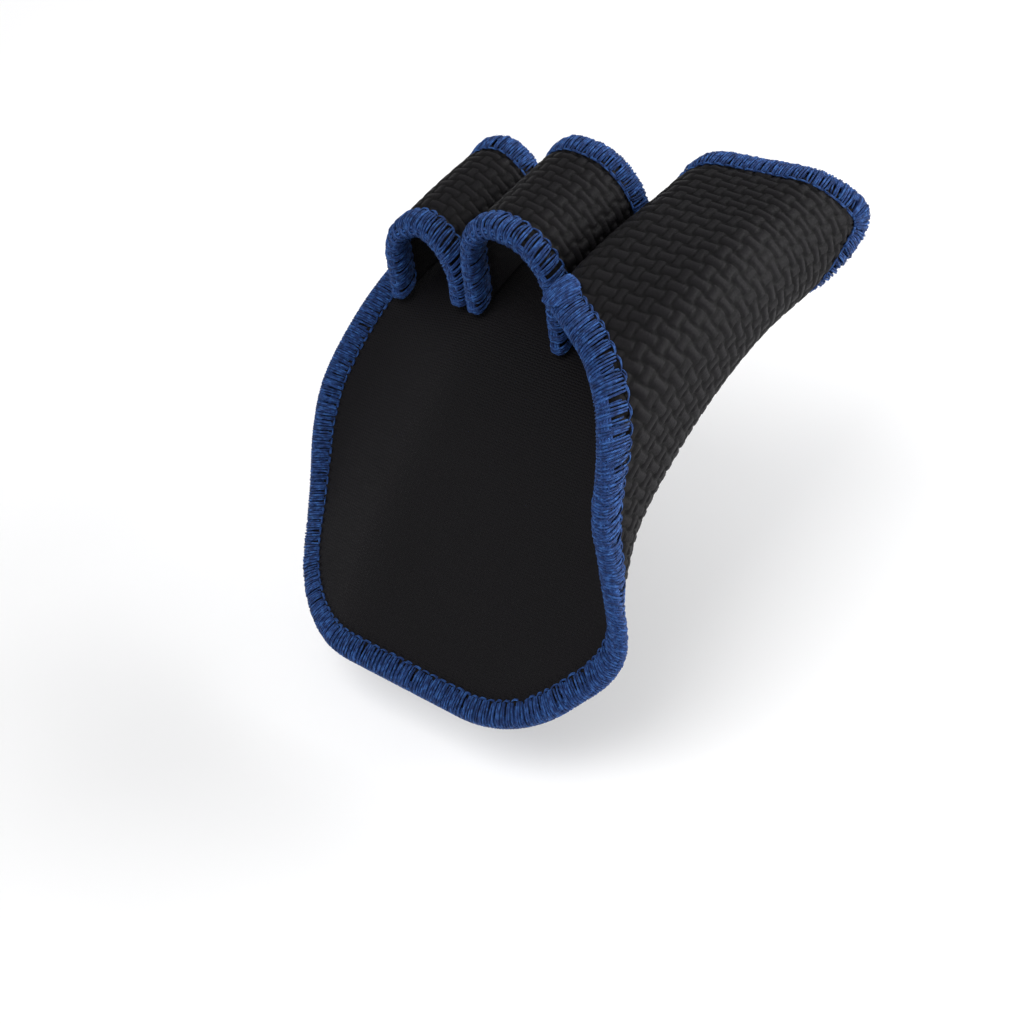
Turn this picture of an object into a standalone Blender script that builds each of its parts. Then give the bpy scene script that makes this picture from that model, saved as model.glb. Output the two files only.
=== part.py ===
# Hand grip for lifting weights: a cloth-faced neoprene pad that lies in the palm.
# The pad's own sheet runs on round the index finger, and two strips of the same sheet
# make the loops for the middle and ring fingers. Every edge is bound with yarn.
#
# Frame: X points to the thumb side, Y along the fingers to their tips, Z to the back
# of the hand. The origin is the middle of the middle finger's hole.
#
# The pieces are drawn flat, as they are cut from the sheet, and then laid round the hand.
# "across" is the way over the sheet from the middle finger's line towards the thumb,
# "along" is the way from the far edge of the index wrap towards the wrist.

from math import pi, radians

import bmesh
import bpy
import numpy as np

MM = 0.001

# Sheet, yarn and clearance, in millimetres
SHEET = 3.0
YARN = 0.45
BITE = 4.8
GAP = 0.3

# Finger holes
MIDDLE_WIDTH = 18.6
MIDDLE_HEIGHT = 19.5
RING_WIDTH = 14.2
RING_HEIGHT = 15.2
LOOP_LENGTH = 31.0
RING_AHEAD = 4.5
CROWN_TILT = 0.9

# Index wrap: how far it reaches to the thumb side, how high it stands, and its corner radii
REACH = 47.4
HEIGHT = 20.8
CORNER_LOW = 10.5
CORNER_HIGH = 9.2
CORNER_VALLEY = 8.5

# The line that the sheet follows from the fingers into the palm
FAR_EDGE = 30.75
STRAIGHT = 21.6
BEND_RADIUS = 65.0
BEND_ANGLE = radians(45)
PAD_LENGTH = 116.0
CUT_RADIUS = 30.0

# Side of the pad under the ring finger, from the middle line outwards
FLAT_UNDER_MIDDLE = 5.0
DROP_ARC = 10.0
DROP_ANGLE = radians(18)
FLAT_UNDER_RING = 14.0
RISE_ARC = 8.0
RISE_ANGLE = radians(30)
SIDE_WIDTH = 41.0

# Yarn tack on the wrap's shoulder, where the middle loop meets it. Its place is a fold
# number and a share of PAD_LENGTH, as in the outline below.
TACK_ACROSS = 5.0
TACK_ALONG = 5.6
TACK_DEPTH = 1.2
TACK_FOLD = 5.28
TACK_PLACE = 0.374

# Largest shares of the wrap's height that its corners may take
LOW_SHARE = 0.5
HIGH_SHARE = 0.45

# Form of a binding: how far its rim is rounded, and where its bite has a fold line
RIM_SHARE = 0.7
FOLD_SHARE = 0.4

# Facets
ARC_STEP = 2.6
FLAT_STEP = 5.5
OUTLINE_STEP = 3.1
FOOT_STEPS = 9
LOOP_STEPS = 6
WALL_STEPS = 3
FLOOR_SAMPLES = 600

# Colours of the two materials
NEOPRENE = (0.016, 0.015, 0.017)
BLUE_YARN = (0.012, 0.055, 0.30)

# Thickness that a binding adds to a face, and the room that a wall's end leaves for it
BINDING = GAP + YARN
FOOT = SHEET / 2 + BINDING + GAP
VALLEY = 2 * BINDING + GAP
MIDDLE_ARC = (MIDDLE_WIDTH + SHEET) / 2
RING_ARC = (RING_WIDTH + SHEET) / 2
FLOOR_Z = -(MIDDLE_HEIGHT + SHEET) / 2
VALLEY_X = MIDDLE_ARC + SHEET + VALLEY
RING_X = -(MIDDLE_ARC + SHEET + VALLEY + RING_ARC)

# How the wrap's reach and height change on the way to the wrist, as shares of
# PAD_LENGTH, REACH and HEIGHT
WRAP = [
    # along, reach, height
    (-0.10, 1.04, 1.00),
    (0.00, 1.02, 1.00),
    (0.10, 1.00, 1.01),
    (0.20, 0.985, 1.03),
    (0.36, 0.97, 1.20),
    (0.48, 0.95, 1.42),
    (0.60, 0.935, 1.50),
    (0.66, 0.95, 1.50),
    (0.72, 0.985, 1.50),
    (0.80, 1.08, 1.50),
    (0.90, 1.13, 1.50),
    (1.10, 1.15, 1.50),
]

# Outline of the pad with its wrap. "fold" counts the stretches of the wrap's section:
# 0 middle line, 1 to 2 lower corner, 3 to 4 upper corner, 5 to 6 turn into the valley,
# 7 its foot in the valley. Below 0 it is a share of SIDE_WIDTH. "along" is a share of
# PAD_LENGTH, and "round" is the corner's radius as a share of CUT_RADIUS.
OUTLINE = [
    # fold, along, round
    (7.00, 0.095, 0.00),
    (5.30, 0.034, 0.47),
    (3.70, 0.002, 1.00),
    (2.10, -0.044, 0.27),
    (1.62, 0.045, 0.27),
    (0.80, 0.118, 1.00),
    (-0.45, 0.112, 1.33),
    (-1.00, 0.085, 0.30),
    (-1.00, 0.620, 2.00),
    (-0.62, 0.985, 0.87),
    (0.75, 1.000, 0.87),
    (1.50, 0.820, 1.33),
    (2.15, 0.680, 1.00),
    (3.05, 0.590, 1.33),
    (3.95, 0.470, 1.00),
    (5.60, 0.395, 0.67),
    (7.00, 0.365, 0.00),
]


def clear_scene():
    for old in list(bpy.data.objects):
        bpy.data.objects.remove(old, do_unlink=True)


def smooth(x, xs, ys):
    """Smooth curve through the points (xs, ys), flat at its turning points."""
    xs = np.asarray(xs, float)
    ys = np.asarray(ys, float)
    slope = np.gradient(ys, xs)
    rise = np.diff(ys) / np.diff(xs)
    for i in range(1, len(xs) - 1):
        if rise[i - 1] * rise[i] <= 0:
            slope[i] = 0
    slope[0] = rise[0]
    slope[-1] = rise[-1]
    x = np.clip(np.asarray(x, float), xs[0], xs[-1])
    k = np.clip(np.searchsorted(xs, x, side="right") - 1, 0, len(xs) - 2)
    h = xs[k + 1] - xs[k]
    t = (x - xs[k]) / h
    near = (2 * t**3 - 3 * t**2 + 1) * ys[k] + (t**3 - 2 * t**2 + t) * h * slope[k]
    far = (3 * t**2 - 2 * t**3) * ys[k + 1] + (t**3 - t**2) * h * slope[k + 1]
    return near + far


def spine(along):
    """Height line of the sheet's middle: its y, its z and how far it has bent down."""
    bent = np.clip((along - STRAIGHT) / BEND_RADIUS, 0, BEND_ANGLE)
    run = np.minimum(along, STRAIGHT)
    rest = np.maximum(along - STRAIGHT - BEND_RADIUS * BEND_ANGLE, 0)
    y = FAR_EDGE - run - BEND_RADIUS * np.sin(bent) - rest * np.cos(BEND_ANGLE)
    z = FLOOR_Z - BEND_RADIUS * (1 - np.cos(bent)) - rest * np.sin(BEND_ANGLE)
    return y, z, bent


def wrap_stretches(along):
    """Lengths and turns of the section on the thumb side, from the middle line to the valley."""
    share = np.asarray(along, float) / PAD_LENGTH
    at, reach, height = zip(*WRAP)
    reach = REACH * smooth(share, at, reach)
    height = HEIGHT * smooth(share, at, height)
    low = np.minimum(CORNER_LOW, LOW_SHARE * height)
    high = np.minimum(CORNER_HIGH, HIGH_SHARE * height)
    valley = np.minimum(CORNER_VALLEY, HIGH_SHARE * height)
    return [
        (reach - low, 0.0),
        (low * pi / 2, pi / 2),
        (height - low - high, 0.0),
        (high * pi / 2, pi / 2),
        (reach - high - VALLEY_X - valley, 0.0),
        (valley * pi / 2, pi / 2),
        (height - valley - FOOT, 0.0),
    ]


def side_stretches():
    """Lengths and turns of the section under the ring finger."""
    bent = FLAT_UNDER_MIDDLE + DROP_ARC + FLAT_UNDER_RING + RISE_ARC
    return [
        (FLAT_UNDER_MIDDLE, 0.0),
        (DROP_ARC, DROP_ANGLE),
        (FLAT_UNDER_RING, 0.0),
        (RISE_ARC, -RISE_ANGLE),
        (SIDE_WIDTH - bent, 0.0),
    ]


def walk(distance, stretches):
    """Point and heading after a walk of a given distance over straight and turning stretches."""
    x = np.zeros(distance.shape)
    up = np.zeros(distance.shape)
    heading = np.zeros(distance.shape)
    left = distance.copy()
    for k, (length, turn) in enumerate(stretches):
        last = k == len(stretches) - 1
        step = left if last else np.minimum(left, length)
        if turn == 0:
            x = x + step * np.cos(heading)
            up = up + step * np.sin(heading)
        else:
            radius = length / turn
            ahead = heading + step / radius
            x = x + radius * (np.sin(ahead) - np.sin(heading))
            up = up + radius * (np.cos(heading) - np.cos(ahead))
            heading = ahead
        left = np.maximum(left - length, 0)
    return x, up, heading


def section(across, along):
    """The sheet's middle in a section: x, height above the floor and the sheet's tilt."""
    x, up, tilt = walk(np.maximum(across, 0), wrap_stretches(along))
    side_x, side_down, side_tilt = walk(np.maximum(-across, 0), side_stretches())
    other = across < 0
    x = np.where(other, -side_x, x)
    up = np.where(other, -side_down, up)
    tilt = np.where(other, side_tilt, tilt)
    return x, up, tilt


def worn(across, along, out):
    """Place of a point of the flat pad, "out" millimetres outside the sheet's middle."""
    across, along, out = np.broadcast_arrays(
        np.asarray(across, float), np.asarray(along, float), np.asarray(out, float))
    x, up, tilt = section(across, along)
    x = x + out * np.sin(tilt)
    up = up - out * np.cos(tilt)
    y, z, bent = spine(along)
    return np.stack([x, y - up * np.sin(bent), z + up * np.cos(bent)], axis=-1)


def fold_across(fold, along):
    """Flat position of a fold number at a place along the pad."""
    if fold < 0:
        return SIDE_WIDTH * fold
    total = 0.0
    for k, (length, _) in enumerate(wrap_stretches(along)):
        total += length * min(max(fold - k, 0.0), 1.0)
    return float(total)


def rounded(corners, radii):
    """Open line through corners, each rounded by an arc of its radius."""
    line = [corners[0]]
    for before, corner, after, radius in zip(corners, corners[1:], corners[2:], radii[1:]):
        back = before - corner
        ahead = after - corner
        back_length = np.linalg.norm(back)
        ahead_length = np.linalg.norm(ahead)
        back = back / back_length
        ahead = ahead / ahead_length
        half = np.arccos(np.clip(back @ ahead, -1, 1)) / 2
        trim = min(radius / np.tan(half), 0.48 * back_length, 0.48 * ahead_length)
        radius = trim * np.tan(half)
        middle = (back + ahead) / np.linalg.norm(back + ahead)
        centre = corner + middle * radius / np.sin(half)
        start = corner + back * trim - centre
        turn = pi - 2 * half
        side = np.sign(start[1] * back[0] - start[0] * back[1])
        for step in np.linspace(0, side * turn, max(2, int(radius * turn / ARC_STEP) + 1)):
            c, s = np.cos(step), np.sin(step)
            spot = centre + np.array([c * start[0] - s * start[1], s * start[0] + c * start[1]])
            line.append(spot)
    line.append(corners[-1])
    return np.array(line)


def even(line, step):
    """The same line with points at even distances of about one step."""
    length = np.concatenate([[0], np.cumsum(np.linalg.norm(np.diff(line, axis=0), axis=1))])
    count = max(2, int(round(length[-1] / step)) + 1)
    at = np.linspace(0, length[-1], count)
    return np.stack([np.interp(at, length, line[:, i]) for i in range(line.shape[1])], axis=1)


def pad_outline():
    """Flat outline of the pad from the wrap's far foot round to its near foot."""
    corners = [
        np.array([fold_across(fold, along * PAD_LENGTH), along * PAD_LENGTH])
        for fold, along, _ in OUTLINE
    ]
    radii = [share * CUT_RADIUS for _, _, share in OUTLINE]
    return even(rounded(corners, radii), OUTLINE_STEP)


def floor_up(x):
    """Height of the sheet's middle under the fingers, at a place across the hand."""
    across = np.linspace(-SIDE_WIDTH, REACH / 2, FLOOR_SAMPLES)
    floor_x, up, _ = section(across, np.full(across.shape, STRAIGHT))
    return float(np.interp(x, floor_x, up))


def foot_up(x):
    """Height at which a loop's wall ends over the pad, clear of the pad's binding."""
    reach = SHEET / 2 + BINDING
    return max(floor_up(x - reach), floor_up(x + reach)) + FOOT


def loop_line(centre, radius, height):
    """Section of a finger loop, from its foot on the little finger's side to the other:
    x, height above the floor and the outward direction."""
    crown = floor_up(centre) + SHEET + height - radius
    left, right = centre - radius, centre + radius
    points = [(left, up, -1.0, 0.0) for up in np.linspace(foot_up(left), crown, WALL_STEPS)[:-1]]
    for angle in np.linspace(pi, 0, int(radius * pi / ARC_STEP) + 2):
        c, s = np.cos(angle), np.sin(angle)
        points.append((centre + radius * c, crown + radius * s, c, s))
    points += [(right, up, 1.0, 0.0) for up in np.linspace(crown, foot_up(right), WALL_STEPS)[1:]]
    return np.array(points)


def loop_ends(x):
    """The y of a loop's near and far edges at a place across the hand."""
    near = np.interp(x, [RING_X, 0.0], [RING_AHEAD, 0.0]) - LOOP_LENGTH / 2
    return near, near + LOOP_LENGTH


def loop_worn(x, up, y):
    """Place of a point of a loop: its feet follow the pad, its crown stays nearly level."""
    crown = MIDDLE_HEIGHT + SHEET
    bend_start = FAR_EDGE - STRAIGHT
    past = np.clip((bend_start - y) / BEND_RADIUS, 0, np.sin(BEND_ANGLE))
    drop = BEND_RADIUS * (1 - np.sqrt(1 - past**2))
    share = np.maximum(up / crown, 0)
    level = CROWN_TILT * y / (LOOP_LENGTH / 2)
    z = FLOOR_Z + up - drop * (1 - share) + level * share
    return np.stack(np.broadcast_arrays(x, y, z), axis=-1)


def make_material(name, colour, roughness):
    material = bpy.data.materials.new(name)
    material.use_nodes = True
    shader = material.node_tree.nodes["Principled BSDF"]
    shader.inputs["Base Color"].default_value = (*colour, 1.0)
    shader.inputs["Roughness"].default_value = roughness
    shader.inputs["Metallic"].default_value = 0.0
    return material


def add_object(name, bm, material):
    bmesh.ops.recalc_face_normals(bm, faces=bm.faces)
    if bm.calc_volume(signed=True) < 0:
        bmesh.ops.reverse_faces(bm, faces=bm.faces)
    mesh = bpy.data.meshes.new(name)
    bm.to_mesh(mesh)
    bm.free()
    mesh.materials.append(material)
    mesh.shade_smooth()
    mesh.set_sharp_from_angle(angle=radians(50))
    thing = bpy.data.objects.new(name, mesh)
    bpy.context.scene.collection.objects.link(thing)
    return thing


def add_skin(bm, rows):
    """Closed body from rings of points: walls between the rings and a cap on each end.
    A ring runs out along one side and back along the other, so its cap is a row of quads."""
    rings = [[bm.verts.new(point * MM) for point in row] for row in rows]
    count = len(rings[0])
    for one, two in zip(rings, rings[1:]):
        for i in range(count):
            j = (i + 1) % count
            bm.faces.new((one[i], one[j], two[j], two[i]))
    for ring in (rings[0], rings[-1]):
        for i in range(count // 2 - 1):
            bm.faces.new((ring[i], ring[i + 1], ring[-i - 2], ring[-i - 1]))
    bmesh.ops.triangulate(bm, faces=bm.faces)


def make_pad(material):
    """Pad with the index wrap: cut flat, sliced into facets, thickened and laid round."""
    bm = bmesh.new()
    outline = pad_outline()
    far, near = outline[0, 1], outline[-1, 1]
    foot = [(fold_across(7.0, along), along) for along in np.linspace(near, far, FOOT_STEPS)[1:-1]]
    outline = np.concatenate([outline, foot])
    bm.faces.new([bm.verts.new((u, v, 0.0)) for u, v in outline])
    curved = REACH - 1.5 * CORNER_LOW
    across = np.concatenate([
        np.arange(-SIDE_WIDTH, curved, FLAT_STEP), np.arange(curved, outline[:, 0].max(), ARC_STEP)])
    cuts = [((u, 0, 0), (1, 0, 0)) for u in across]
    cuts += [((0, v, 0), (0, 1, 0)) for v in np.arange(-FLAT_STEP, PAD_LENGTH, FLAT_STEP)]
    for place, normal in cuts:
        bmesh.ops.bisect_plane(
            bm, geom=bm.verts[:] + bm.edges[:] + bm.faces[:], plane_co=place, plane_no=normal, dist=0.05)
    bmesh.ops.triangulate(bm, faces=bm.faces)
    flat = bm.verts[:]
    shell = bmesh.ops.extrude_face_region(bm, geom=bm.faces[:])
    raised = [item for item in shell["geom"] if isinstance(item, bmesh.types.BMVert)]
    for verts, out in ((flat, SHEET / 2), (raised, -SHEET / 2)):
        where = np.array([vert.co[:] for vert in verts])
        for vert, place in zip(verts, worn(where[:, 0], where[:, 1], out)):
            vert.co = place * MM
    return add_object("palm_pad", bm, material)


def make_loop(name, line, material):
    """Strip of sheet that makes one finger loop."""
    near, far = loop_ends(line[:, 0])
    half = SHEET / 2
    rows = []
    for share in np.linspace(0, 1, LOOP_STEPS):
        y = near + (far - near) * share
        outer = loop_worn(line[:, 0] + line[:, 2] * half, line[:, 1] + line[:, 3] * half, y)
        inner = loop_worn(line[:, 0] - line[:, 2] * half, line[:, 1] - line[:, 3] * half, y)
        rows.append(np.concatenate([outer, inner[::-1]]))
    bm = bmesh.new()
    add_skin(bm, rows)
    return add_object(name, bm, material)


def binding_profile():
    """Cross-section of a binding: (inwards from the edge, out of the sheet's middle)."""
    inside = SHEET / 2 + GAP
    outside = inside + YARN
    rim = RIM_SHARE * outside
    fold = FOLD_SHARE * BITE
    outer = [(BITE, outside), (fold, outside), (0.0, outside), (-BINDING, rim)]
    inner = [(BITE, inside), (fold, inside), (0.0, inside), (-GAP, inside)]
    mirrored = [
        [(depth, -out) for depth, out in reversed(side)] for side in (outer, inner)]
    return outer + mirrored[0] + (inner + mirrored[1])[::-1]


def make_pad_binding(material):
    """Yarn over the pad's edge, from the wrap's far foot right round to its near foot."""
    spots = pad_outline()
    heading = np.gradient(spots, axis=0)
    heading /= np.linalg.norm(heading, axis=1)[:, None]
    inward = np.stack([heading[:, 1], -heading[:, 0]], axis=1)
    if np.sum((spots.mean(axis=0) - spots) * inward) < 0:
        inward = -inward
    spots[0] += heading[0] * BINDING
    spots[-1] -= heading[-1] * BINDING
    profile = np.array(binding_profile())
    rows = [
        worn(spot[0] + inn[0] * profile[:, 0], spot[1] + inn[1] * profile[:, 0], profile[:, 1])
        for spot, inn in zip(spots, inward)
    ]
    bm = bmesh.new()
    add_skin(bm, rows)
    return add_object("pad_binding", bm, material)


def make_loop_binding(name, line, near_edge, material):
    """Yarn over the near or the far edge of a finger loop."""
    profile = np.array(binding_profile())
    rows = []
    for x, up, out_x, out_up in line:
        near, far = loop_ends(x)
        y = near + profile[:, 0] if near_edge else far - profile[:, 0]
        rows.append(loop_worn(x + out_x * profile[:, 1], up + out_up * profile[:, 1], y))
    bm = bmesh.new()
    add_skin(bm, rows)
    return add_object(name, bm, material)


def make_tack(material):
    """Knot of yarn that lies on the binding of the wrap's near edge."""
    along = TACK_PLACE * PAD_LENGTH
    across = fold_across(TACK_FOLD, along)
    bm = bmesh.new()
    bmesh.ops.create_uvsphere(bm, u_segments=16, v_segments=8, radius=0.5)
    for vert in bm.verts:
        out = SHEET / 2 + BINDING + GAP + TACK_DEPTH * (0.5 + vert.co.z)
        place = worn(across + TACK_ACROSS * vert.co.x, along + TACK_ALONG * vert.co.y, out)
        vert.co = place * MM
    return add_object("junction_tack", bm, material)


def main():
    clear_scene()
    neoprene = make_material("neoprene", NEOPRENE, 0.75)
    yarn = make_material("blue_yarn", BLUE_YARN, 0.6)
    make_pad(neoprene)
    make_pad_binding(yarn)
    loops = {
        "middle": loop_line(0.0, MIDDLE_ARC, MIDDLE_HEIGHT),
        "ring": loop_line(RING_X, RING_ARC, RING_HEIGHT),
    }
    for finger, line in loops.items():
        make_loop(finger + "_loop", line, neoprene)
        make_loop_binding(finger + "_near_binding", line, True, yarn)
        make_loop_binding(finger + "_far_binding", line, False, yarn)
    make_tack(yarn)


main()
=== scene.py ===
# %% [markdown]
# A weightlifting hand grip in embossed neoprene, edged with blue overlock yarn.
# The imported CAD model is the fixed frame: it says where each sheet and each edging lies.
# This lesson dresses it. Each sheet is drawn flat, as it is cut, with its pattern pressed in,
# and then laid round the hand by the same rule as the CAD solid. Yarn is wound over its edges.

# %% Load the frame
from collections import namedtuple
from math import pi, radians

import bpy
import numpy as np
from mathutils import Matrix, Vector
from mathutils.geometry import delaunay_2d_cdt


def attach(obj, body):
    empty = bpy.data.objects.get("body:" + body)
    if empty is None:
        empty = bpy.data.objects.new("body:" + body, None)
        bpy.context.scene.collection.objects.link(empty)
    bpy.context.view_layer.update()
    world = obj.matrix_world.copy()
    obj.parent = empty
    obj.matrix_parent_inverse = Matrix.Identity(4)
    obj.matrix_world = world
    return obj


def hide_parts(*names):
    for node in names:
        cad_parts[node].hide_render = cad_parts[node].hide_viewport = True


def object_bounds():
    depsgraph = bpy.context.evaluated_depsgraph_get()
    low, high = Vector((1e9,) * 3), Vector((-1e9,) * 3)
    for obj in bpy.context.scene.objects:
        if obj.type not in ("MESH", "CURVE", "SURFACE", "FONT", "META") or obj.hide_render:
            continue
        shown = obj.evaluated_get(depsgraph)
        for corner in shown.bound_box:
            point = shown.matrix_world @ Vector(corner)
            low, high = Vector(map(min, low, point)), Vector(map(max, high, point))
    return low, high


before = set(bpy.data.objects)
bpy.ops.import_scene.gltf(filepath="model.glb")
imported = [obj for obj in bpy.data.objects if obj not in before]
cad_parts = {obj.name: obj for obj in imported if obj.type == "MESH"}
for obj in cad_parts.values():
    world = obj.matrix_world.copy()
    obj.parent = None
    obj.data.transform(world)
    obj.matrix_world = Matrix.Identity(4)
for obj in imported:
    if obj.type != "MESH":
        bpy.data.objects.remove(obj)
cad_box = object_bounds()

print("nodes:", ", ".join(sorted(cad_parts)))

# %% [markdown]
# Everything below is counted in millimetres, as a pattern cutter would, and turned to metres
# only when a mesh is made. X is the thumb side, Y runs to the fingertips and Z is up through
# the back of the hand. The origin is the middle of the middle finger's hole.

# %% Sizes of the sheet and of the finger holes
MM = 0.001
SHEET = 3.0
YARN = 0.45
BITE = 4.8
GAP = 0.3
MIDDLE_WIDTH = 18.6
MIDDLE_HEIGHT = 19.5
RING_WIDTH = 14.2
RING_HEIGHT = 15.2
LOOP_LENGTH = 31.0
RING_AHEAD = 4.5
CROWN_TILT = 0.9
BINDING = GAP + YARN
FOOT = SHEET / 2 + BINDING + GAP
VALLEY = 2 * BINDING + GAP
MIDDLE_ARC = (MIDDLE_WIDTH + SHEET) / 2
RING_ARC = (RING_WIDTH + SHEET) / 2
FLOOR_Z = -(MIDDLE_HEIGHT + SHEET) / 2
VALLEY_X = MIDDLE_ARC + SHEET + VALLEY
RING_X = -(MIDDLE_ARC + SHEET + VALLEY + RING_ARC)
print(f"sheet {SHEET} mm, middle hole {MIDDLE_WIDTH} x {MIDDLE_HEIGHT} mm")

# %% Sizes of the pad and of the wrap round the index finger
REACH = 47.4
HEIGHT = 20.8
CORNER_LOW = 10.5
CORNER_HIGH = 9.2
CORNER_VALLEY = 8.5
LOW_SHARE = 0.5
HIGH_SHARE = 0.45
FAR_EDGE = 30.75
STRAIGHT = 21.6
BEND_RADIUS = 65.0
BEND_ANGLE = radians(45)
PAD_LENGTH = 116.0
CUT_RADIUS = 30.0
FLAT_UNDER_MIDDLE = 5.0
DROP_ARC = 10.0
DROP_ANGLE = radians(18)
FLAT_UNDER_RING = 14.0
RISE_ARC = 8.0
RISE_ANGLE = radians(30)
SIDE_WIDTH = 41.0
print(f"pad {PAD_LENGTH} mm long, bent {BEND_ANGLE / pi * 180:.0f} degrees over the palm")

# %% [markdown]
# The wrap's section is wider and taller towards the wrist. Two short tables hold that and the
# flat outline of the cut. "fold" counts the stretches of the section: 0 middle line, 1 to 2
# lower corner, 3 to 4 upper corner, 5 to 6 turn into the valley, 7 foot in the valley. Below 0
# it is a share of SIDE_WIDTH. "along" is a share of PAD_LENGTH and "round" of CUT_RADIUS.

# %% Tables of the wrap and of the cut
WRAP = [
    # along, reach, height
    (-0.10, 1.04, 1.00),
    (0.00, 1.02, 1.00),
    (0.10, 1.00, 1.01),
    (0.20, 0.985, 1.03),
    (0.36, 0.97, 1.20),
    (0.48, 0.95, 1.42),
    (0.60, 0.935, 1.50),
    (0.66, 0.95, 1.50),
    (0.72, 0.985, 1.50),
    (0.80, 1.08, 1.50),
    (0.90, 1.13, 1.50),
    (1.10, 1.15, 1.50),
]
OUTLINE = [
    # fold, along, round
    (7.00, 0.095, 0.00),
    (5.30, 0.034, 0.47),
    (3.70, 0.002, 1.00),
    (2.10, -0.044, 0.27),
    (1.62, 0.045, 0.27),
    (0.80, 0.118, 1.00),
    (-0.45, 0.112, 1.33),
    (-1.00, 0.085, 0.30),
    (-1.00, 0.620, 2.00),
    (-0.62, 0.985, 0.87),
    (0.75, 1.000, 0.87),
    (1.50, 0.820, 1.33),
    (2.15, 0.680, 1.00),
    (3.05, 0.590, 1.33),
    (3.95, 0.470, 1.00),
    (5.60, 0.395, 0.67),
    (7.00, 0.365, 0.00),
]
print(f"{len(OUTLINE)} corners in the cut, {len(WRAP)} sections in the wrap")


# %% [markdown]
# Cloth that isn't stretched keeps its lengths, so a point is found by walking: so many
# millimetres straight on, so many round a corner. The walk is done in a section across the
# hand, and the section then rides down a line that bends over the palm.

# %% Lay a flat point round the hand
def smooth(x, xs, ys):
    """Smooth curve through the points (xs, ys), flat at its turning points."""
    xs = np.asarray(xs, float)
    ys = np.asarray(ys, float)
    slope = np.gradient(ys, xs)
    rise = np.diff(ys) / np.diff(xs)
    slope[1:-1] = np.where(rise[:-1] * rise[1:] <= 0, 0, slope[1:-1])
    slope[0] = rise[0]
    slope[-1] = rise[-1]
    x = np.clip(np.asarray(x, float), xs[0], xs[-1])
    k = np.clip(np.searchsorted(xs, x, side="right") - 1, 0, len(xs) - 2)
    h = xs[k + 1] - xs[k]
    t = (x - xs[k]) / h
    near = (2 * t**3 - 3 * t**2 + 1) * ys[k] + (t**3 - 2 * t**2 + t) * h * slope[k]
    far = (3 * t**2 - 2 * t**3) * ys[k + 1] + (t**3 - t**2) * h * slope[k + 1]
    return near + far


def spine(along):
    """Height line of the sheet's middle: its y, its z and how far it has bent down."""
    bent = np.clip((along - STRAIGHT) / BEND_RADIUS, 0, BEND_ANGLE)
    run = np.minimum(along, STRAIGHT)
    rest = np.maximum(along - STRAIGHT - BEND_RADIUS * BEND_ANGLE, 0)
    y = FAR_EDGE - run - BEND_RADIUS * np.sin(bent) - rest * np.cos(BEND_ANGLE)
    z = FLOOR_Z - BEND_RADIUS * (1 - np.cos(bent)) - rest * np.sin(BEND_ANGLE)
    return y, z, bent


def wrap_stretches(along):
    """Lengths and turns of the section on the thumb side, from the middle line on."""
    share = np.asarray(along, float) / PAD_LENGTH
    at, reach, height = zip(*WRAP)
    reach = REACH * smooth(share, at, reach)
    height = HEIGHT * smooth(share, at, height)
    low = np.minimum(CORNER_LOW, LOW_SHARE * height)
    high = np.minimum(CORNER_HIGH, HIGH_SHARE * height)
    valley = np.minimum(CORNER_VALLEY, HIGH_SHARE * height)
    return [
        (reach - low, 0.0),
        (low * pi / 2, pi / 2),
        (height - low - high, 0.0),
        (high * pi / 2, pi / 2),
        (reach - high - VALLEY_X - valley, 0.0),
        (valley * pi / 2, pi / 2),
        (height - valley - FOOT, 0.0),
    ]


def side_stretches():
    """Lengths and turns of the section under the ring finger."""
    bent = FLAT_UNDER_MIDDLE + DROP_ARC + FLAT_UNDER_RING + RISE_ARC
    return [
        (FLAT_UNDER_MIDDLE, 0.0),
        (DROP_ARC, DROP_ANGLE),
        (FLAT_UNDER_RING, 0.0),
        (RISE_ARC, -RISE_ANGLE),
        (SIDE_WIDTH - bent, 0.0),
    ]


def walk(distance, stretches):
    """Point and heading after a walk over straight and turning stretches."""
    x = np.zeros(distance.shape)
    up = np.zeros(distance.shape)
    heading = np.zeros(distance.shape)
    left = distance.copy()
    for k, (length, turn) in enumerate(stretches):
        last = k == len(stretches) - 1
        step = left if last else np.minimum(left, length)
        if turn == 0:
            x = x + step * np.cos(heading)
            up = up + step * np.sin(heading)
        else:
            radius = length / turn
            ahead = heading + step / radius
            x = x + radius * (np.sin(ahead) - np.sin(heading))
            up = up + radius * (np.cos(heading) - np.cos(ahead))
            heading = ahead
        left = np.maximum(left - length, 0)
    return x, up, heading


def section(across, along):
    """The sheet's middle in a section: x, height above the floor and the sheet's tilt."""
    x, up, tilt = walk(np.maximum(across, 0), wrap_stretches(along))
    side_x, side_down, side_tilt = walk(np.maximum(-across, 0), side_stretches())
    other = across < 0
    x = np.where(other, -side_x, x)
    up = np.where(other, -side_down, up)
    tilt = np.where(other, side_tilt, tilt)
    return x, up, tilt


def worn(across, along, out):
    """Place of a point of the flat pad, "out" millimetres outside the sheet's middle."""
    across, along, out = np.broadcast_arrays(
        np.asarray(across, float), np.asarray(along, float), np.asarray(out, float))
    x, up, tilt = section(across, along)
    x = x + out * np.sin(tilt)
    up = up - out * np.cos(tilt)
    y, z, bent = spine(along)
    return np.stack([x, y - up * np.sin(bent), z + up * np.cos(bent)], axis=-1)


print("the middle line's far end lies at", np.round(worn(0, 0, 0), 1), "mm")


# %% [markdown]
# A finger loop is a strip whose section is two walls and a crown. Its feet follow the pad as
# it bends, and its crown stays nearly level, as on the finger that wears it.

# %% Lay a flat point round a finger
def floor_up(x):
    """Height of the sheet's middle under the fingers, at a place across the hand."""
    across = np.linspace(-SIDE_WIDTH, REACH / 2, 600)
    floor_x, up, _ = section(across, np.full(across.shape, STRAIGHT))
    return float(np.interp(x, floor_x, up))


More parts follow.
